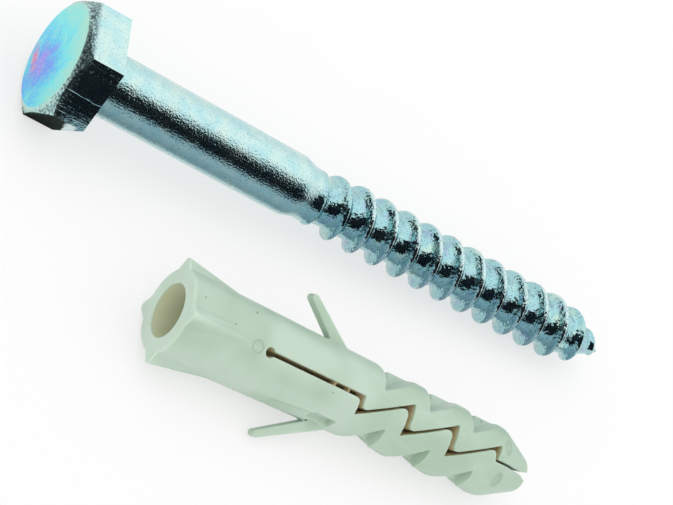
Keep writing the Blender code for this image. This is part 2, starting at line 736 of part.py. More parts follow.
def lay_on_floor(obj):
    obj.location.z -= min(point.z for point in world_points(obj))


def centre_on_origin(objects):
    points = [point for obj in objects for point in world_points(obj)]
    for axis in range(2):
        middle = (min(point[axis] for point in points) + max(point[axis] for point in points)) / 2
        for obj in objects:
            obj.location[axis] -= middle


def lay_out(screw, plug):
    """The screw lies on a head flat and its thread, the plug on a mouth rib and its belly."""
    drop = (HEAD_ACROSS_FLATS - THREAD_DIAMETER) / 2
    screw.rotation_euler = (0.0, math.atan2(drop, SCREW_LENGTH - POINT_LENGTH), 0.0)
    belly_x = PLUG_LENGTH - NOSE_LENGTH
    plug_drop = rib_reach() * math.cos(PLUG_ROLL) - BODY_END_DIAMETER / 2
    plug.rotation_euler = (PLUG_ROLL, math.atan2(plug_drop, belly_x), PLUG_YAW)
    plug.location = (PLUG_ALONG, -PLUG_BESIDE, 0.0)
    for obj in (screw, plug):
        lay_on_floor(obj)
    centre_on_origin((screw, plug))


def main():
    clear_scene()
    parts = new_collection(COLLECTION_NAME)
    cutters = new_collection(f"{COLLECTION_NAME}_cutters")
    screw = hex_screw(parts, cutters)
    screw.data.materials.append(new_material("bright_zinc", (0.55, 0.66, 0.70), 0.28, 1.0))
    plug = wall_plug(parts, cutters)
    plug.data.materials.append(new_material("mint_nylon", (0.46, 0.62, 0.51), 0.45, 0.0))
    lay_out(screw, plug)


main()
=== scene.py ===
"""Looks for a wall plug and its hex screw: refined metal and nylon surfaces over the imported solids."""

import math

import bmesh
import bpy
import numpy as np
from bpy.props import FloatProperty, FloatVectorProperty, IntProperty, PointerProperty
from bpy.types import Operator, Panel, PropertyGroup
from mathutils import Euler, Matrix, Vector


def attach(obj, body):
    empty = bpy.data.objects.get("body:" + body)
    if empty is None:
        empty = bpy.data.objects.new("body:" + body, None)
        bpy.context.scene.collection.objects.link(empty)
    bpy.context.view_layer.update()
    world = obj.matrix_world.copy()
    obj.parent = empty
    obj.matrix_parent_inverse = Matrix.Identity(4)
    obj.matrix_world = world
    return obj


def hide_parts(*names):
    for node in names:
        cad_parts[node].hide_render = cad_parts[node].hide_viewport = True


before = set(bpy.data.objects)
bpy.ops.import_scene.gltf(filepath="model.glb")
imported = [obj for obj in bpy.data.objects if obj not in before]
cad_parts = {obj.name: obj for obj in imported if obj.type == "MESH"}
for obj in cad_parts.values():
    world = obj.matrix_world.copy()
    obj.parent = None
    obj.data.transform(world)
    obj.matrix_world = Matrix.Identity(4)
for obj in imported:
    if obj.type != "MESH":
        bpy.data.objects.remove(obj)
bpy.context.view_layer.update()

bl_info = {
    "name": "Wall Plug with Hex Screw",
    "version": (1, 0, 0),
    "blender": (4, 5, 0),
    "location": "3D View > Sidebar > Wall Plug",
    "description": "Dresses a nylon wall plug and its zinc-plated hex screw",
    "category": "Object",
}

MM = 0.001

# Where the two pieces lie, as in the solids
SCREW_LOCATION = (-0.0466551, 0.0150148, 0.0085429)
SCREW_TURN = (0.0, 0.040675, 0.0)
PLUG_LOCATION = (-0.0290551, -0.0149852, 0.0068396)
PLUG_TURN = (0.523599, 0.021413, 0.003491)

# Points nearer than this are welded
WELD = 0.002 * MM

# Head: the cone that cuts its chamfer, the rounding of its edges, the least area of a flat face
CONE_OVERRUN = 2 * MM
CONE_SIDES = 128
EDGE_ROUNDING = 0.16 * MM
EDGE_ANGLE = math.radians(25)
SMOOTH_ANGLE = math.radians(38)
LARGE_FACE = 12 * MM * MM

# Cone at the shank's end: (share of its length, share of the narrowing still to come)
CONE_STEPS = ((0.15, 0.99), (0.5, 0.5), (0.85, 0.03), (1.0, 0.0), (1.35, 0.0))

# Thread: how it starts inside the shank, grows to its full size and shrinks to the point
THREAD_LEAD = 0.2 * MM
THREAD_BURIED = 1.5 * MM
CORE_RUN_IN = 4.5 * MM
CREST_RUN_IN = 7.5 * MM
CREST_RISE = 2 * MM
RUN_IN_DROP = 0.25 * MM
CORE_POINT = 10 * MM
CORE_POINT_CURVE = 1.8
CREST_POINT = 14 * MM
CREST_POINT_CURVE = 2.9
THINNEST = 0.05 * MM

# Half of the thread's profile: (millimetres from the crest, share of the thread's height)
CREST_PROFILE = (
    (0.00, 1.0), (0.10, 0.995), (0.20, 0.97), (0.30, 0.90), (0.42, 0.78), (0.62, 0.56),
    (0.82, 0.33), (1.00, 0.17), (1.20, 0.07), (1.45, 0.02), (1.80, 0.0),
)

# Plug: grain of its remeshed surface, how far that is softened, the most triangles it may have
VOXEL = 0.11 * MM
SOFTENING = 0.5
SOFTENING_PASSES = 3
TRIANGLE_LIMIT = 190000

# Stretch of the noise for marks that run lengthwise
DRAWN = (0.05, 1.0, 1.0)
MOULDED = (0.25, 1.0, 1.0)
SCUFFED = (0.3, 1.0, 1.6)

# Colours that play over the zinc
ZINC_STREAK = (0.34, 0.54, 0.58)
ZINC_THREAD = (0.30, 0.58, 0.62)
ZINC_STRAW = (0.66, 0.80, 0.62)
ZINC_VIOLET = (0.36, 0.40, 0.66)
# Painted highlight along the thread's crest
ZINC_CREST_HIGHLIGHT = (0.80, 0.88, 0.86)
RING_DARK = (0.10, 0.15, 0.18)
RING_PALE = (0.50, 0.76, 0.70)

# Rainbow of the passivation on the head's end face, from its violet middle outwards
RAINBOW_Y = 0.6 * MM
RAINBOW_Z = -3.2 * MM
RAINBOW_REACH = 11.0 * MM
RAINBOW = (
    (0.04, (0.34, 0.30, 0.90)),
    (0.16, (0.16, 0.36, 0.94)),
    (0.38, (0.10, 0.60, 0.92)),
    (0.60, (0.17, 0.80, 0.84)),
    (0.98, (0.38, 0.78, 0.66)),
)
FACE_GRIT = (0.52, 0.74, 0.62)

# Pink blush low on the end face
BLUSH = (0.80, 0.20, 0.42)
BLUSH_Y = 2.4 * MM
BLUSH_Z = -5.4 * MM

# Scratches on the head's front flat: (place down the flat, half width)
FRONT_FLAT_ANGLE = math.radians(30)
SCRATCHES = ((0.6 * MM, 0.16 * MM), (3.9 * MM, 0.14 * MM))

# Plug's body and bore: radius at the mouth, and what it loses per length along the plug
BODY_RADIUS = 6.35 * MM
BODY_TAPER = 0.0131
BORE_RADIUS = 4.2 * MM
BORE_TAPER = 0.04

# Round gate mark on the plug, and the two dimples by its nose
GATE_X = 11.8 * MM
GATE_RADIUS = 0.85 * MM
# Painted shade in the gate mark's ring
GATE_SHADE = (0.30, 0.38, 0.30)
DIMPLE_X = 58.15 * MM
DIMPLE_Y = 2.45 * MM
DIMPLE_LENGTH = 0.65 * MM
DIMPLE_WIDTH = 1.05 * MM
# Painted shade round the dimples' edges
DIMPLE_SHADE = (0.26, 0.33, 0.26)

# Plug's skin: edges made paler as a painted highlight, faint dirt, and two dark specks near the mouth
# Painted highlight on the rib crests and the mouth's rim
NYLON_EDGE_HIGHLIGHT = (0.60, 0.73, 0.62)
NYLON_DIRT = (0.10, 0.12, 0.09)
SPECK_COLOUR = (0.08, 0.10, 0.08)
SPECK_RADIUS = 0.2 * MM
SPECKS = ((1.83 * MM, 3.13 * MM), (7.32 * MM, 1.52 * MM))

# Kinds of ray that see the background, and the light's colours low down and overhead
RAYS = ("Camera", "Glossy", "Transmission")
GLOW_LOW = (0.70, 0.76, 0.80)
GLOW_HIGH = (1.16, 1.15, 1.13)

# Floor, a hair below the set, and the softbox
FLOOR_SIZE = 4.0
FLOOR_Z = -0.02 * MM
LAMP_LOCATION = (0.1, 0.25, 0.6)
LAMP_SIZE = (1.2, 0.9)

# Black cards in front of the set and at its side
BLACK = (0.006, 0.008, 0.012)
FRONT_CARD_X = -0.15
FRONT_CARD_Y = -0.42
FRONT_CARD_WIDTH = 2.1
SIDE_CARD_LOCATION = (-0.6, 0.1, 0.14)
SIDE_CARD_SIZE = (1.04, 0.28)

# Low flags by the screw, their middles in the screw's own coordinates
UPPER_FLAG_PLACE = (50 * MM, -18 * MM, 5.2 * MM)
UPPER_FLAG_SIZE = (100 * MM, 6 * MM)
LOWER_FLAG_PLACE = (50 * MM, -11.5 * MM, -1.2 * MM)
LOWER_FLAG_SIZE = (100 * MM, 14.5 * MM)
LOWER_FLAG_LEAN = math.atan2(-6.4, 13.0)
LOWER_FLAG_GREY = (0.44, 0.53, 0.60)

# Dark grey flag under the head, just above the floor: painted shadow for the metal to mirror
UNDER_FLAG_X = -2.5 * MM
UNDER_FLAG_Z = 0.1 * MM
UNDER_FLAG_SIZE = (6.4 * MM, 18 * MM)
UNDER_SHADOW_GREY = (0.05, 0.055, 0.05)

# Camera fitted to the photo, with its focal length in pixels of the photo
CAMERA_LOCATION = (-0.1632631, -0.1796552, 0.2284999)
CAMERA_TURN = (0.55316998, -0.6690639, 0.07457437)
FOCAL_PIXELS = 2263.0
PHOTO_WIDTH_PIXELS = 673.0
SENSOR_WIDTH = 36.0


class ScrewSizes(PropertyGroup):
    across_flats: FloatProperty(
        name="Across flats", description="Spanner size of the head", default=16.98 * MM, unit="LENGTH"
    )
    head_height: FloatProperty(
        name="Head height", description="Height of the hexagon head", default=6.3 * MM, unit="LENGTH"
    )
    face_diameter: FloatProperty(
        name="End face", description="Flat circle inside the head's chamfer",
        default=15.8 * MM, unit="LENGTH",
    )
    chamfer_drop: FloatProperty(
        name="Chamfer", description="Depth of the chamfer at the head's corners",
        default=1.3 * MM, unit="LENGTH",
    )
    length: FloatProperty(
        name="Length", description="Length under the head", default=100 * MM, unit="LENGTH"
    )
    shank_diameter: FloatProperty(
        name="Shank", description="Diameter of the plain shank", default=9.5 * MM, unit="LENGTH"
    )
    shank_length: FloatProperty(
        name="Shank length", description="Length of the plain shank", default=35.5 * MM, unit="LENGTH"
    )
    shank_end_diameter: FloatProperty(
        name="Shank end", description="Diameter where the shank runs into the thread",
        default=8.2 * MM, unit="LENGTH",
    )
    shank_cone_length: FloatProperty(
        name="Shank cone", description="Length of the cone at the end of the shank",
        default=3.2 * MM, unit="LENGTH",
    )
    thread_diameter: FloatProperty(
        name="Thread", description="Diameter over the thread's crest", default=10 * MM, unit="LENGTH"
    )
    core_diameter: FloatProperty(
        name="Core", description="Diameter of the thread's core", default=7 * MM, unit="LENGTH"
    )
    pitch: FloatProperty(
        name="Pitch", description="Distance from one crest to the next", default=4.5 * MM, unit="LENGTH"
    )
    turn_steps: IntProperty(
        name="Turn steps", description="Faces round one turn of the thread", default=72, min=24, max=120
    )


class Finishes(PropertyGroup):
    zinc: FloatVectorProperty(
        name="Zinc", description="Tint of the plating", default=(0.45, 0.71, 0.73), subtype="COLOR"
    )
    zinc_cream: FloatVectorProperty(
        name="Zinc, pale", description="Creamier patches of the plating",
        default=(0.58, 0.77, 0.73), subtype="COLOR",
    )
    zinc_pit: FloatVectorProperty(
        name="Zinc, pits", description="Small dark pits in the plating",
        default=(0.06, 0.09, 0.11), subtype="COLOR",
    )
    nylon: FloatVectorProperty(
        name="Nylon", description="Colour of the moulded plug", default=(0.42, 0.55, 0.435), subtype="COLOR"
    )
    nylon_pale: FloatVectorProperty(
        name="Nylon, pale", description="Paler flow marks", default=(0.51, 0.63, 0.53), subtype="COLOR"
    )
    # Painted shade: a tan tint inside the bore stands in for its shade
    nylon_bore_shade: FloatVectorProperty(
        name="Nylon in the bore", description="Colour inside the bore",
        default=(0.66, 0.69, 0.50), subtype="COLOR",
    )
    # Painted shade: a brown tint on the slots' walls stands in for their shade
    nylon_slot_shade: FloatVectorProperty(
        name="Nylon in the slots", description="Colour inside the slots",
        default=(0.70, 0.60, 0.38), subtype="COLOR",
    )


class StageSettings(PropertyGroup):
    lamp_power: FloatProperty(
        name="Softbox power", description="Power of the soft lamp overhead", default=0.6, unit="POWER"
    )
    floor_grey: FloatProperty(
        name="Floor", description="Brightness of the pale floor", default=0.88, min=0.0, max=1.0
    )
    floor_white: FloatProperty(
        name="Floor white", description="Share of the floor that is plain white",
        default=0.62, min=0.0, max=1.0,
    )
    card_height: FloatProperty(
        name="Card height", description="Height of the black card before the set",
        default=1.3, unit="LENGTH",
    )


class Flow:
    """A shader socket that takes part in arithmetic."""

    def __init__(self, tree, socket):
        self.tree = tree
        self.socket = socket

    def math(self, operation, *values):
        return self.tree.node("ShaderNodeMath", {"operation": operation}, *values)

    def __add__(self, other):
        return self.math("ADD", self, other)

    __radd__ = __add__

    def __sub__(self, other):
        return self.math("SUBTRACT", self, other)

    def __rsub__(self, other):
        return self.math("SUBTRACT", other, self)

    def __mul__(self, other):
        return self.math("MULTIPLY", self, other)

    __rmul__ = __mul__

    def __truediv__(self, other):
        return self.math("DIVIDE", self, other)

    def __pow__(self, other):
        return self.math("POWER", self, other)

    def __abs__(self):
        return self.math("ABSOLUTE", self)

    def or_more(self, other):
        """The larger of the two."""
        return self.math("MAXIMUM", self, other)

    def between(self, low, high):
        """0 below low, 1 above high, smooth between them."""
        settings = {"interpolation_type": "SMOOTHSTEP"}
        return self.tree.node("ShaderNodeMapRange", settings, self, low, high, 0.0, 1.0)

    def near(self, place, width):
        """1 at a place, smoothly down to 0 at a width from it."""
        return 1.0 - abs(self - place).between(0.0, width)


def away(first, second):
    """Distance from the middle, from two flows that are square to each other."""
    return (first * first + second * second) ** 0.5


def rgba(colour):
    return colour if isinstance(colour, Flow) else (*colour, 1.0)


class Finish:
    """A node material, or a world, built from expressions."""

    def __init__(self, owner):
        owner.use_nodes = True
        self.nodes = owner.node_tree.nodes
        self.links = owner.node_tree.links
        self.nodes.clear()

    def node(self, kind, settings, *values, output=0, **sockets):
        """Adds a node: its settings first, then values or links by socket order or by socket name."""
        node = self.nodes.new(kind)
        for key, value in settings.items():
            if key == "stops":
                ramp = node.color_ramp
                while len(ramp.elements) < len(value):
                    ramp.elements.new(0.5)
                for element, (place, colour) in zip(ramp.elements, value):
                    element.position = place
                    element.color = rgba(colour)
            else:
                setattr(node, key, value)
        for index, value in enumerate(values):
            self.plug_in(node.inputs[index], value)
        for key, value in sockets.items():
            self.plug_in(node.inputs[key.replace("_", " ")], value)
        return Flow(self, node.outputs[output]) if node.outputs else None

    def plug_in(self, socket, value):
        if isinstance(value, Flow):
            self.links.new(value.socket, socket)
        elif value is not None:
            socket.default_value = value

    def local(self, location, turn):
        """Coordinates of the piece as it was modelled, along its own +X axis."""
        coordinates = self.node("ShaderNodeTexCoord", {}, output=3)
        return self.node("ShaderNodeMapping", {"vector_type": "TEXTURE"}, coordinates, location, turn)

    def axes(self, vector):
        split = self.node("ShaderNodeSeparateXYZ", {}, vector).socket.node
        return [Flow(self, split.outputs[index]) for index in range(3)]

    def stretched(self, vector, scale):
        return self.node("ShaderNodeVectorMath", {"operation": "MULTIPLY"}, vector, scale)

    def noise(self, vector, scale, detail=2.0, distortion=0.0):
        return self.node(
            "ShaderNodeTexNoise", {}, Vector=vector, Scale=scale, Detail=detail, Distortion=distortion
        )

    def mix(self, share, first, second):
        """Colours or flows of colour, from the first at 0 to the second at 1."""
        mixed = self.node("ShaderNodeMix", {"data_type": "RGBA"}, share, output=2)
        inputs = mixed.socket.node.inputs
        self.plug_in(inputs[6], rgba(first))
        self.plug_in(inputs[7], rgba(second))
        return mixed

    def bump(self, height, strength, distance, normal=None):
        return self.node(
            "ShaderNodeBump", {}, Height=height, Strength=strength, Distance=distance, Normal=normal
        )

    def seen_directly(self):
        """1 for what the camera, metal and glass see, 0 for the light that falls on things."""
        outputs = self.node("ShaderNodeLightPath", {}).socket.node.outputs
        camera, glossy, through = (Flow(self, outputs["Is %s Ray" % kind]) for kind in RAYS)
        return camera.or_more(glossy).or_more(through)

    def surface(self, **sockets):
        """The shader of a material. Names use underscores for spaces."""
        shader = self.node("ShaderNodeBsdfPrincipled", {}, **sockets)
        self.node("ShaderNodeOutputMaterial", {}, shader)


def deselect():
    if bpy.context.mode != "OBJECT":
        bpy.ops.object.mode_set(mode="OBJECT")
    bpy.ops.object.select_all(action="DESELECT")


def pick(obj):
    deselect()
    obj.select_set(True)
    bpy.context.view_layer.objects.active = obj


def named(obj, name):
    obj.name = name
    obj.data.name = name
    return obj


def select_faces(obj, test):
    """Selects in edit mode the faces whose normal passes the test."""
    bpy.ops.object.mode_set(mode="EDIT")
    bpy.ops.mesh.select_mode(type="FACE")
    mesh = bmesh.from_edit_mesh(obj.data)
    for face in mesh.faces:
        face.select_set(test(face.normal))
    bmesh.update_edit_mesh(obj.data)


def weld(obj):
    """Merges points that coincide, and stays in edit mode with all selected."""
    pick(obj)
    bpy.ops.object.mode_set(mode="EDIT")
    bpy.ops.mesh.select_all(action="SELECT")
    bpy.ops.mesh.remove_doubles(threshold=WELD)


def apply_modifier(obj, kind, **settings):
    modifier = obj.modifiers.new(kind.lower(), kind)
    for key, value in settings.items():
        setattr(modifier, key, value)
    pick(obj)
    bpy.ops.object.modifier_apply(modifier=modifier.name)


def place(obj, location, turn):
    """Lays a piece modelled along +X where its solid lies, with the place kept in its mesh."""
    obj.matrix_world = Matrix.LocRotScale(location, Euler(turn), None)
    pick(obj)
    bpy.ops.object.transform_apply(location=True, rotation=True, scale=True)


def merged_copy(node, name):
    """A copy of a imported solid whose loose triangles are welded."""
    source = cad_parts[node]
    copy = source.copy()
    copy.data = source.data.copy()
    bpy.context.scene.collection.objects.link(copy)
    copy.parent = None
    copy.matrix_world = Matrix.Identity(4)
    named(copy, name)
    weld(copy)
    bpy.ops.object.mode_set(mode="OBJECT")
    return copy


def make_zinc(colours, sizes):
    material = bpy.data.materials.new("bright_zinc")
    finish = Finish(material)
    local = finish.local(SCREW_LOCATION, SCREW_TURN)
    x, y, z = finish.axes(local)
    radius = away(y, z)
    face_x = -sizes.head_height
    face_radius = sizes.face_diameter / 2
    thread_x = sizes.shank_length + sizes.shank_cone_length
    crest_radius = sizes.thread_diameter / 2
    on_head = 1.0 - x.between(-0.1 * MM, 0.1 * MM)
    on_face = 1.0 - x.between(face_x + 0.01 * MM, face_x + 0.06 * MM)
    on_chamfer = radius.between(face_radius - 0.05 * MM, face_radius + 0.1 * MM)
    on_chamfer = on_chamfer * (1.0 - x.between(face_x + 0.8 * MM, face_x + 1.7 * MM))
    on_thread = x.between(thread_x - 0.7 * MM, thread_x + 1.3 * MM)
    crest_highlight = on_thread * radius.between(crest_radius - 0.30 * MM, crest_radius - 0.08 * MM)

    # Plating: broad cream patches, lengthwise drawing marks, straw and violet tints, small dark pits, and a
    # painted highlight along the thread's crest
    patches = finish.noise(local, 420.0, detail=4.0)
    streaks = finish.noise(finish.stretched(local, DRAWN), 2400.0)
    specks = finish.noise(local, 3700.0)
    hue = finish.noise(local, 480.0, detail=3.0)
    colour = finish.mix(patches.between(0.35, 0.68), colours.zinc, colours.zinc_cream)
    colour = finish.mix(streaks.between(0.55, 0.85) * 0.35, colour, ZINC_STREAK)
    colour = finish.mix(on_thread * 0.7, colour, ZINC_THREAD)
    colour = finish.mix(hue.between(0.52, 0.74) * on_thread * 0.5, colour, ZINC_STRAW)
    colour = finish.mix((1.0 - hue.between(0.28, 0.46)) * on_thread * 0.5, colour, ZINC_VIOLET)
    # Painted highlight: the thread's crest is made paler
    colour = finish.mix(crest_highlight * 0.45, colour, ZINC_CREST_HIGHLIGHT)
    pits = specks.between(0.58, 0.68) * (0.30 + 0.45 * on_thread)
    colour = finish.mix(pits, colour, colours.zinc_pit)

    # The head's chamfer is a rough, speckled ring, with painted shade darkening its top, and paler by the
    # end face
    grit = finish.noise(local, 2600.0, detail=3.0)
    # Painted shade: the ring is darkened towards its top
    upper = z.between(-6.0 * MM, 4.0 * MM) * 0.14
    ring_edge = 0.16 * (1.0 - radius.between(face_radius + 0.05 * MM, face_radius + 0.7 * MM))
    ring = finish.mix((grit - upper + ring_edge).between(0.26, 0.58), RING_DARK, RING_PALE)
    colour = finish.mix(on_chamfer * (1.0 - on_face), colour, ring)

    # The end face shows the rainbow of its passivation, clouded, with a blush and pale grit
    cloud = finish.noise(local, 230.0, detail=6.0, distortion=1.2)
    phase = away(y - RAINBOW_Y, z - RAINBOW_Z) / RAINBOW_REACH + (cloud - 0.5) * 0.9
    rainbow = finish.node("ShaderNodeValToRGB", {"stops": RAINBOW}, phase)
    blush = z.near(BLUSH_Z, 1.3 * MM) * y.near(BLUSH_Y, 4.0 * MM) * cloud.between(0.38, 0.52)
    rainbow = finish.mix(blush, rainbow, BLUSH)
    rainbow = finish.mix(grit.between(0.52, 0.64) * 0.35, rainbow, FACE_GRIT)
    colour = finish.mix(on_face, colour, rainbow)

    # Two long, broken scratches on the front flat of the head
    wander = (finish.noise(local, 320.0) - 0.5) * (0.9 * MM)
    down_flat = wander - y * math.sin(FRONT_FLAT_ANGLE) - z * math.cos(FRONT_FLAT_ANGLE)
    scratch = sum(down_flat.near(middle, width) for middle, width in SCRATCHES)
    scratch = scratch * on_head * (1.0 - on_face) * streaks.between(0.35, 0.65)

    dents = finish.noise(local, 1500.0, detail=1.0) * on_thread * 1.5
    grain = specks * (1.0 - 0.7 * on_head - 0.65 * on_thread) + grit * 0.5 * (on_chamfer + 0.2)
    relief = grain + dents + streaks * 0.45 * on_head + scratch * 0.4
    normal = finish.bump(relief, 0.6, 0.13 * MM)
    normal = finish.bump(patches, 0.25, 0.4 * MM, normal)
    roughness = 0.08 + 0.08 * patches + 0.16 * on_chamfer + 0.12 * on_face
    finish.surface(Base_Color=colour, Metallic=1.0, Roughness=roughness, Normal=normal)
    return material


def make_nylon(colours):
    material = bpy.data.materials.new("mint_nylon")
    finish = Finish(material)
    local = finish.local(PLUG_LOCATION, PLUG_TURN)
    x, y, z = finish.axes(local)
    across = abs(y)
    radius = away(y, z)
    depth = BODY_RADIUS - x * BODY_TAPER - radius
    past_bore = radius - (BORE_RADIUS - x * BORE_TAPER)
    in_bore = x.between(0.1 * MM, 0.6 * MM) * (1.0 - past_bore.between(0.0, 0.25 * MM))
    in_bore = in_bore * (1.0 - x.between(56.0 * MM, 58.0 * MM))
    in_slot = (1.0 - across.between(2.2 * MM, 2.8 * MM)) * depth.between(0.25 * MM, 0.9 * MM)
    in_slot = in_slot * x.between(11.0 * MM, 13.0 * MM) * (1.0 - x.between(57.5 * MM, 59.0 * MM))
    # Where the ribs and the rim get their painted highlight
    rib_highlight = 1.0 - depth.between(-1.5 * MM, -0.7 * MM)
    rib_highlight = rib_highlight * (1.0 - x.between(9.0 * MM, 12.0 * MM))
    rim_highlight = 1.0 - x.between(0.15 * MM, 0.5 * MM)

    # Skin: faint clouds, pale flow marks along the plug and a little dirt
    flow = finish.noise(finish.stretched(local, MOULDED), 420.0, detail=3.0, distortion=0.6)
    cloud = finish.noise(local, 110.0)
    dirt = finish.noise(local, 520.0)
    colour = finish.mix(cloud.between(0.35, 0.70), colours.nylon, colours.nylon_pale)
    colour = finish.mix(flow.between(0.52, 0.74) * 0.45, colour, colours.nylon_pale)
    colour = finish.mix(dirt.between(0.735, 0.77) * 0.7, colour, NYLON_DIRT)

    # Marks of the mould: the gate's ring and the dimples' edges, darkened as painted shade, and a painted
    # highlight making the ribs and rim paler
    gate = away(x - GATE_X, y).near(GATE_RADIUS, 0.2 * MM) * z.between(4.0 * MM, 5.0 * MM)
    # Painted shade darkens the gate's ring
    colour = finish.mix(gate * 0.3, colour, GATE_SHADE)
    dimple = away((x - DIMPLE_X) / DIMPLE_LENGTH, (across - DIMPLE_Y) / DIMPLE_WIDTH)
    # Painted shade round the dimples' edges
    colour = finish.mix(dimple.near(0.85, 0.45) * 0.4, colour, DIMPLE_SHADE)
    # Painted highlight: the rib crests and the rim are made paler
    colour = finish.mix(rib_highlight.or_more(rim_highlight) * 0.6, colour, NYLON_EDGE_HIGHLIGHT)
    for speck_x, speck_y in SPECKS:
        speck = away(x - speck_x, y - speck_y).near(0.0, SPECK_RADIUS) * z.between(0.0, MM)
        colour = finish.mix(speck * 0.85, colour, SPECK_COLOUR)
    # Painted shade: the inside of the bore takes a tan tint for its shade
    colour = finish.mix(in_bore, colour, colours.nylon_bore_shade)
    # Painted shade: the slots' walls take a brown tint for their shade
    colour = finish.mix(in_slot, colour, colours.nylon_slot_shade)

    scuffs = finish.noise(finish.stretched(local, SCUFFED), 900.0, distortion=2.5)
    fine = finish.noise(local, 2500.0) + scuffs.between(0.66, 0.70) * 1.5
    normal = finish.bump(flow, 0.2, 0.3 * MM)
    normal = finish.bump(gate * -1.0, 0.9, 0.12 * MM, normal)
    normal = finish.bump(fine, 0.1, 0.05 * MM, normal)
    finish.surface(
        Base_Color=colour, Roughness=0.36 + 0.16 * flow, Normal=normal, Specular_IOR_Level=0.4,
        Subsurface_Weight=0.3, Subsurface_Scale=1.5 * MM, Subsurface_Radius=(1.0, 1.0, 0.7),
    )
    return material


class WALLPLUG_OT_screw(Operator):
    """Models the screw: chamfered hexagon head, plain shank and wood thread."""

    bl_idname = "wallplug.screw"
    bl_label = "Hex screw"

    def execute(self, context):
        sizes = context.scene.wallplug_screw
        head = self.head(sizes)
        shank = self.shank(sizes)
        thread = self.thread(sizes)
        deselect()
        for obj in (shank, thread, head):
            obj.select_set(True)
        context.view_layer.objects.active = head
        bpy.ops.object.join()
        place(head, SCREW_LOCATION, SCREW_TURN)
        bpy.ops.object.shade_smooth_by_angle(angle=SMOOTH_ANGLE)
        for face in head.data.polygons:
            if face.area > LARGE_FACE:
                face.use_smooth = False
        head.data.materials.clear()
        head.data.materials.append(make_zinc(context.scene.wallplug_finishes, sizes))
        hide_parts("hex_screw")
        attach(head, "root")
        return {"FINISHED"}

    def head(self, sizes):
        corner = sizes.across_flats / math.sqrt(3)
        deselect()
        bpy.ops.mesh.primitive_cylinder_add(
            vertices=6, radius=corner, depth=sizes.head_height,
            location=(-sizes.head_height / 2, 0, 0), rotation=(0, math.pi / 2, 0),
        )
        head = named(bpy.context.object, "hex_screw_dressed")
        bpy.ops.object.transform_apply(location=True, rotation=True, scale=True)
        head.data.transform(Matrix.Rotation(self.flat_turn(head), 4, "X"))
        face_radius = sizes.face_diameter / 2
        slope = (corner - face_radius) / sizes.chamfer_drop
        depth = sizes.head_height + CONE_OVERRUN
        deselect()
        bpy.ops.mesh.primitive_cone_add(
            vertices=CONE_SIDES, radius1=face_radius, radius2=face_radius + slope * depth, depth=depth,
            location=(-sizes.head_height + depth / 2, 0, 0), rotation=(0, math.pi / 2, 0),
        )
        cone = named(bpy.context.object, "chamfer_cone")
        bpy.ops.object.transform_apply(location=True, rotation=True, scale=True)
        apply_modifier(head, "BOOLEAN", operation="INTERSECT", solver="EXACT", object=cone)
        bpy.data.objects.remove(cone)
        apply_modifier(
            head, "BEVEL", width=EDGE_ROUNDING, segments=3, limit_method="ANGLE", angle_limit=EDGE_ANGLE
        )
        return head

    def flat_turn(self, head):
        """The turn about X that brings a flat of the hexagon uppermost."""
        corner = max(head.data.vertices, key=lambda vert: vert.co.z).co
        return math.pi / 6 if abs(corner.y) < 0.1 * MM else 0.0

    def shank(self, sizes):
        """A cylinder that starts inside the head, its end face drawn out to a cone ring by ring."""
        radius = sizes.shank_diameter / 2
        inside_head = sizes.head_height / 2
        deselect()
        bpy.ops.mesh.primitive_cylinder_add(
            vertices=sizes.turn_steps, radius=radius, depth=sizes.shank_length + inside_head,
            location=((sizes.shank_length - inside_head) / 2, 0, 0), rotation=(0, math.pi / 2, 0),
        )
        shank = named(bpy.context.object, "shank")
        bpy.ops.object.transform_apply(location=True, rotation=True, scale=True)
        select_faces(shank, lambda normal: normal.x > 0.9)
        end_radius = sizes.shank_end_diameter / 2
        last_x, last_radius = sizes.shank_length, radius
        for along, share in CONE_STEPS:
            x = sizes.shank_length + sizes.shank_cone_length * along
            ring = end_radius + (radius - end_radius) * share
            bpy.ops.mesh.extrude_region_move(TRANSFORM_OT_translate={"value": (x - last_x, 0, 0)})
            factor = ring / last_radius
            bpy.ops.transform.resize(value=(1, factor, factor), center_override=(x, 0, 0))
            last_x, last_radius = x, ring
        bpy.ops.object.mode_set(mode="OBJECT")
        return shank

    def thread(self, sizes):
        """A strip wound into a helix: its long edges meet one turn apart and are welded."""
        pitch = sizes.pitch
        steps = sizes.turn_steps
        profile = self.profile(pitch)
        across = len(profile) - 1
        start_x = sizes.shank_length + THREAD_LEAD
        first_x = start_x + THREAD_BURIED
        turns = math.ceil((sizes.length - start_x) / pitch) + 1
        deselect()
        bpy.ops.mesh.primitive_grid_add(x_subdivisions=turns * steps, y_subdivisions=across, size=2)
        thread = named(bpy.context.object, "thread")
        flat = np.empty(len(thread.data.vertices) * 3)
        thread.data.vertices.foreach_get("co", flat)
        flat = flat.reshape(-1, 3)
        along = np.round((flat[:, 0] + 1) / 2 * turns * steps)
        row = np.round((flat[:, 1] + 1) / 2 * across).astype(int)
        places = np.array([point[0] for point in profile])[row]
        shares = np.array([point[1] for point in profile])[row]
        angle = 2 * math.pi * along / steps
        x = start_x + pitch * along / steps + places
        radius = self.core(x, sizes) + shares * (self.crest(x, sizes) - self.core(x, sizes))
        radius = np.where(x < first_x, 0.0, radius)
        x = np.clip(x, first_x, sizes.length)
        radius = np.where(x >= sizes.length, 0.0, radius)
        wound = np.stack([x, radius * np.cos(angle), radius * np.sin(angle)], 1)
        thread.data.vertices.foreach_set("co", wound.ravel())
        thread.data.update()
        weld(thread)
        bpy.ops.mesh.normals_make_consistent(inside=False)
        bpy.ops.object.mode_set(mode="OBJECT")
        return thread

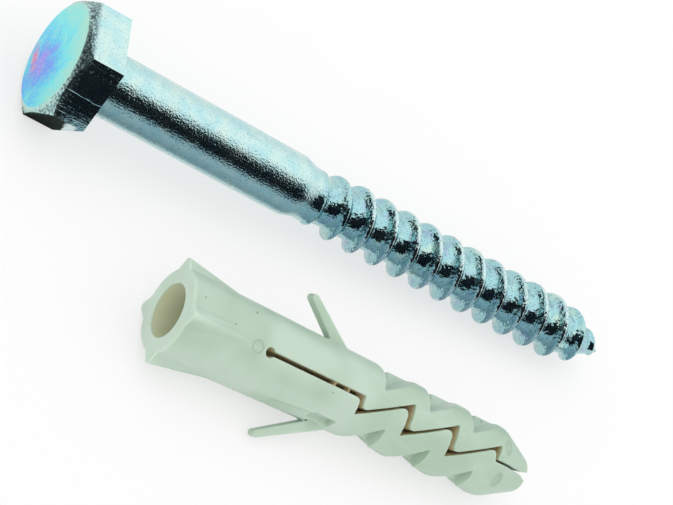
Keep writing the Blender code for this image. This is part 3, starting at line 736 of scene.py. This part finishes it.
    def profile(self, pitch):
        """(place along one pitch, share of the thread's height), from one root to the next."""
        centre = pitch / 2
        left = [(centre - place * MM, share) for place, share in reversed(CREST_PROFILE[1:])]
        right = [(centre + place * MM, share) for place, share in CREST_PROFILE]
        return [(0.0, 0.0)] + left + right + [(pitch, 0.0)]

    def core(self, x, sizes):
        """Radius of the core, from the shank's cone to the point."""
        cone_end = sizes.shank_length + sizes.shank_cone_length
        share = np.clip((x - cone_end) / CORE_RUN_IN, 0, 1)
        radius = (sizes.shank_end_diameter + (sizes.core_diameter - sizes.shank_end_diameter) * share) / 2
        radius = radius - RUN_IN_DROP * (1 - share)
        tip = np.clip((x - (sizes.length - CORE_POINT)) / CORE_POINT, 0, 1)
        return np.maximum(radius * (1 - tip**CORE_POINT_CURVE), THINNEST)

    def crest(self, x, sizes):
        """Radius over the crest, from the shank's cone to the point."""
        cone_end = sizes.shank_length + sizes.shank_cone_length
        share = np.clip((x - cone_end) / CREST_RUN_IN, 0, 1)
        radius = (sizes.shank_end_diameter + (sizes.thread_diameter - sizes.shank_end_diameter) * share) / 2
        radius = radius - RUN_IN_DROP * (1 - np.clip((x - cone_end) / CREST_RISE, 0, 1))
        tip = np.clip((x - (sizes.length - CREST_POINT)) / CREST_POINT, 0, 1)
        return np.maximum(radius * (1 - tip**CREST_POINT_CURVE), THINNEST)


class WALLPLUG_OT_plug(Operator):
    """Softens the moulded plug's edges and gives it its nylon."""

    bl_idname = "wallplug.plug"
    bl_label = "Wall plug"

    def execute(self, context):
        plug = merged_copy("wall_plug", "wall_plug_dressed")
        apply_modifier(plug, "REMESH", mode="VOXEL", voxel_size=VOXEL)
        apply_modifier(
            plug, "CORRECTIVE_SMOOTH", factor=SOFTENING, iterations=SOFTENING_PASSES,
            use_only_smooth=True,
        )
        triangles = sum(len(face.vertices) - 2 for face in plug.data.polygons)
        if triangles > TRIANGLE_LIMIT:
            apply_modifier(plug, "DECIMATE", ratio=TRIANGLE_LIMIT / triangles)
        pick(plug)
        bpy.ops.object.shade_smooth()
        plug.data.materials.clear()
        plug.data.materials.append(make_nylon(context.scene.wallplug_finishes))
        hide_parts("wall_plug")
        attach(plug, "root")
        return {"FINISHED"}


class WALLPLUG_OT_stage(Operator):
    """Sets the pale floor, the cards that the metal mirrors, the soft light and the camera."""

    bl_idname = "wallplug.stage"
    bl_label = "Stage"

    def execute(self, context):
        settings = context.scene.wallplug_stage
        self.floor(settings)
        self.cards(settings)
        self.flags()
        self.lamp(settings)
        self.world()
        self.camera()
        context.scene.view_settings.view_transform = "Standard"
        return {"FINISHED"}

    def floor(self, settings):
        """A pale floor that keeps the shadow, part of it plain white where it is seen."""
        deselect()
        bpy.ops.mesh.primitive_plane_add(size=FLOOR_SIZE, location=(0, 0, FLOOR_Z))
        floor = named(bpy.context.object, "floor")
        bpy.ops.object.transform_apply(location=True, rotation=True, scale=True)
        grey = settings.floor_grey
        material = bpy.data.materials.new("pale_floor")
        finish = Finish(material)
        paint = finish.node("ShaderNodeBsdfDiffuse", {}, rgba((grey, grey, grey)))
        white = finish.node("ShaderNodeEmission", {}, rgba((1.0, 1.0, 1.0)), 1.0)
        share = finish.seen_directly() * settings.floor_white
        shader = finish.node("ShaderNodeMixShader", {}, share, paint, white)
        finish.node("ShaderNodeOutputMaterial", {}, shader)
        floor.data.materials.append(material)

    def cards(self, settings):
        """Black cards beside the set that give its metal the dark band."""
        height = settings.card_height
        front = (FRONT_CARD_X, FRONT_CARD_Y, height / 2)
        self.card("front_card", front, (math.pi / 2, 0, 0), (FRONT_CARD_WIDTH, height), BLACK)
        self.card("side_card", SIDE_CARD_LOCATION, (math.pi / 2, 0, math.pi / 2), SIDE_CARD_SIZE, BLACK)

    def flags(self):
        """Low flags along the screw, dark above and grey below, and a dark one under its head as painted
        shadow.
        """
        lie = Matrix.LocRotScale(SCREW_LOCATION, Euler(SCREW_TURN), None)
        upper = lie @ Vector(UPPER_FLAG_PLACE)
        self.card("upper_flag", upper, (math.pi / 2, 0, 0), UPPER_FLAG_SIZE, BLACK)
        lower = lie @ Vector(LOWER_FLAG_PLACE)
        turn = (LOWER_FLAG_LEAN, SCREW_TURN[1], 0)
        self.card("lower_flag", lower, turn, LOWER_FLAG_SIZE, LOWER_FLAG_GREY)
        # Painted shadow: a dark sheet under the head that the metal mirrors
        under = lie @ Vector((UNDER_FLAG_X, 0, 0))
        under.z = UNDER_FLAG_Z
        self.card("under_head_shadow", under, (0, 0, 0), UNDER_FLAG_SIZE, UNDER_SHADOW_GREY)

    def card(self, name, location, rotation, size, colour):
        """A card that only mirrored rays see."""
        deselect()
        bpy.ops.mesh.primitive_plane_add(size=1.0, location=location, rotation=rotation)
        card = named(bpy.context.object, name)
        card.scale = (*size, 1.0)
        bpy.ops.object.transform_apply(location=True, rotation=True, scale=True)
        material = bpy.data.materials.new(name)
        Finish(material).surface(Base_Color=rgba(colour), Roughness=0.9, Specular_IOR_Level=0.0)
        card.data.materials.append(material)
        card.visible_camera = False
        card.visible_diffuse = False
        card.visible_shadow = False

    def lamp(self, settings):
        deselect()
        bpy.ops.object.light_add(type="AREA", location=LAMP_LOCATION)
        lamp = named(bpy.context.object, "softbox")
        lamp.data.shape = "RECTANGLE"
        lamp.data.size, lamp.data.size_y = LAMP_SIZE
        lamp.data.energy = settings.lamp_power
        lamp.rotation_euler = (-lamp.location).to_track_quat("-Z", "Y").to_euler()

    def world(self):
        """White where it is seen, and a soft gradient, brighter overhead and behind, as the light."""
        world = bpy.data.worlds.new("studio")
        bpy.context.scene.world = world
        finish = Finish(world)
        x, y, z = finish.axes(finish.node("ShaderNodeTexCoord", {}, output=0))
        overhead = (z * 0.8 - y * 0.4 - x * 0.2).between(-0.2, 0.8)
        glow = finish.mix(overhead, GLOW_LOW, GLOW_HIGH)
        seen = finish.mix(finish.seen_directly(), glow, (1.0, 1.0, 1.0))
        background = finish.node("ShaderNodeBackground", {}, seen, 1.0)
        finish.node("ShaderNodeOutputWorld", {}, background)

    def camera(self):
        deselect()
        bpy.ops.object.camera_add(location=CAMERA_LOCATION, rotation=CAMERA_TURN)
        camera = named(bpy.context.object, "photo_camera")
        camera.data.lens_unit = "MILLIMETERS"
        camera.data.sensor_fit = "HORIZONTAL"
        camera.data.sensor_width = SENSOR_WIDTH
        camera.data.lens = SENSOR_WIDTH * FOCAL_PIXELS / PHOTO_WIDTH_PIXELS
        camera.data.clip_start = 0.01
        camera.data.clip_end = 10.0
        bpy.context.scene.camera = camera


class WALLPLUG_PT_panel(Panel):
    """Lists the pieces and their sizes."""

    bl_idname = "WALLPLUG_PT_panel"
    bl_label = "Wall Plug"
    bl_space_type = "VIEW_3D"
    bl_region_type = "UI"
    bl_category = "Wall Plug"

    def draw(self, context):
        layout = self.layout
        for operator in OPERATORS:
            layout.operator(operator.bl_idname)
        for name, group in GROUPS.items():
            box = layout.box()
            for prop in group.__annotations__:
                box.prop(getattr(context.scene, name), prop)


OPERATORS = (WALLPLUG_OT_screw, WALLPLUG_OT_plug, WALLPLUG_OT_stage)
GROUPS = {
    "wallplug_screw": ScrewSizes,
    "wallplug_finishes": Finishes,
    "wallplug_stage": StageSettings,
}


def register():
    for group in GROUPS.values():
        bpy.utils.register_class(group)
    for operator in OPERATORS:
        bpy.utils.register_class(operator)
    bpy.utils.register_class(WALLPLUG_PT_panel)
    for name, group in GROUPS.items():
        setattr(bpy.types.Scene, name, PointerProperty(type=group))


def unregister():
    for name in GROUPS:
        delattr(bpy.types.Scene, name)
    for member in (WALLPLUG_PT_panel, *OPERATORS, *GROUPS.values()):
        bpy.utils.unregister_class(member)


def main():
    register()
    bpy.ops.wallplug.screw()
    bpy.ops.wallplug.plug()
    bpy.ops.wallplug.stage()


if __name__ == "__main__":
    main()
